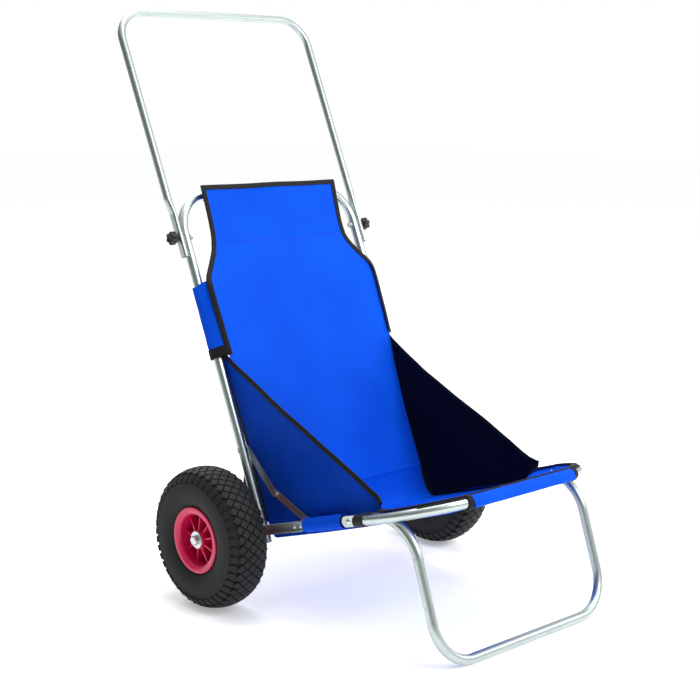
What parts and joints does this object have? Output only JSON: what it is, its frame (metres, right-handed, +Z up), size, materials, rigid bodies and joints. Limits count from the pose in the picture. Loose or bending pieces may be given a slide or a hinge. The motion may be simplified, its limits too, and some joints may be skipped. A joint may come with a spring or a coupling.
{
  "type": "beach cart",
  "caption": "Folding two-wheeled beach cart with a tubular frame, push handle, fabric seat bucket, front leg frame and pneumatic wheels.",
  "frame": {"origin": "on the ground, at the centre of the footprint", "axes": "+X to the user's right across the cart, -Y towards the front leg frame, +Z up"},
  "size_m": [0.6822, 0.8896, 1.0813],
  "materials": {
    "aluminium_tube": "bright drawn aluminium tube, fine lengthwise draw marks",
    "aluminium_channel": "mill-finish folded aluminium",
    "zinc_steel": "bright zinc plate",
    "black_steel": "satin black powder coat",
    "black_plastic": "moulded, fine grain",
    "grey_plastic": "moulded",
    "rim_red": "moulded, satin gloss",
    "tyre_rubber": "black rubber with block tread",
    "soft_rubber": "matt",
    "blue_cloth": "coated polyester plain weave",
    "black_webbing": "woven polyester tape"
  },
  "bodies": {
    "back": {"back_frame": "aluminium_tube", "frame_end_plugs": "black_plastic", "seat_pivot_pins": "zinc_steel", "stay_top_rivets": "zinc_steel", "clamp_nuts": "zinc_steel", "axle": "zinc_steel", "axle_bracket_left": "black_steel", "axle_bracket_right": "black_steel", "axle_spacers": "zinc_steel", "axle_washers": "zinc_steel", "axle_caps": "zinc_steel", "back_panel": "blue_cloth"},
    "seat": {"leg_frame": "aluminium_tube", "seat_bow": "aluminium_tube", "bow_rivets": "zinc_steel", "hinge_channel_left": "aluminium_channel", "hinge_channel_right": "aluminium_channel", "channel_rivets": "zinc_steel", "seat_panel": "blue_cloth", "seat_straps": "black_webbing", "side_panel_left": "blue_cloth", "side_panel_right": "blue_cloth"},
    "handle": {"push_handle": "aluminium_tube"},
    "knob_left": {"clamp_knob_left": "black_plastic", "clamp_bolt_left": "zinc_steel"},
    "wheel_left": {"tyre_left": "tyre_rubber", "inner_tube_left": "soft_rubber", "rim_left": "rim_red", "hub_bushes_left": "grey_plastic", "valve_left": "soft_rubber"},
    "upper_stay_left": {"upper_stay_left": "zinc_steel", "stay_knee_rivet_left": "zinc_steel"},
    "lower_stay_left": {"lower_stay_left": "zinc_steel", "stay_foot_rivet_left": "zinc_steel"},
    "knob_right": {"clamp_knob_right": "black_plastic", "clamp_bolt_right": "zinc_steel"},
    "wheel_right": {"tyre_right": "tyre_rubber", "inner_tube_right": "soft_rubber", "rim_right": "rim_red", "hub_bushes_right": "grey_plastic", "valve_right": "soft_rubber"},
    "upper_stay_right": {"upper_stay_right": "zinc_steel", "stay_knee_rivet_right": "zinc_steel"},
    "lower_stay_right": {"lower_stay_right": "zinc_steel", "stay_foot_rivet_right": "zinc_steel"}
  },
  "joints": [
    {"name": "seat_fold", "type": "hinge", "parent": "back", "child": "seat", "pos_m": [0, 0.01367, 0.1405], "axis": [-1, 0, 0], "range_deg": [0, 84], "deforming": ["side_panel_left", "side_panel_right"]},
    {"name": "handle_swing", "type": "hinge", "parent": "back", "child": "handle", "pos_m": [0, 0.24438, 0.65625], "axis": [-1, 0, 0], "range_deg": [0, 172]},
    {"name": "wheel_left_spin", "type": "hinge", "parent": "back", "child": "wheel_left", "pos_m": [0, 0.07027, 0.13], "axis": [-1, 0, 0], "continuous": true},
    {"name": "knob_left_turn", "type": "hinge", "parent": "back", "child": "knob_left", "pos_m": [0, 0.24438, 0.65625], "axis": [1, 0, 0], "continuous": true},
    {"name": "stay_left_top", "type": "hinge", "parent": "back", "child": "upper_stay_left", "pos_m": [0, 0.07533, 0.27834], "axis": [-1, 0, 0], "range_deg": [-66.79, 0]},
    {"name": "stay_left_knee", "type": "hinge", "parent": "upper_stay_left", "child": "lower_stay_left", "pos_m": [0, -0.00138, 0.21046], "axis": [-1, 0, 0], "range_deg": [0, 133.11]},
    {"name": "wheel_right_spin", "type": "hinge", "parent": "back", "child": "wheel_right", "pos_m": [0, 0.07027, 0.13], "axis": [-1, 0, 0], "continuous": true},
    {"name": "knob_right_turn", "type": "hinge", "parent": "back", "child": "knob_right", "pos_m": [0, 0.24438, 0.65625], "axis": [1, 0, 0], "continuous": true},
    {"name": "stay_right_top", "type": "hinge", "parent": "back", "child": "upper_stay_right", "pos_m": [0, 0.07533, 0.27834], "axis": [-1, 0, 0], "range_deg": [-66.79, 0]},
    {"name": "stay_right_knee", "type": "hinge", "parent": "upper_stay_right", "child": "lower_stay_right", "pos_m": [0, -0.00138, 0.21046], "axis": [-1, 0, 0], "range_deg": [0, 133.11]}
  ],
  "couplings": [
    {"joint": "stay_left_top", "follows": "seat_fold", "ratio": -0.79389},
    {"joint": "stay_left_knee", "follows": "seat_fold", "ratio": 1.5835},
    {"joint": "stay_right_top", "follows": "seat_fold", "ratio": -0.79389},
    {"joint": "stay_right_knee", "follows": "seat_fold", "ratio": 1.5835}
  ]
}
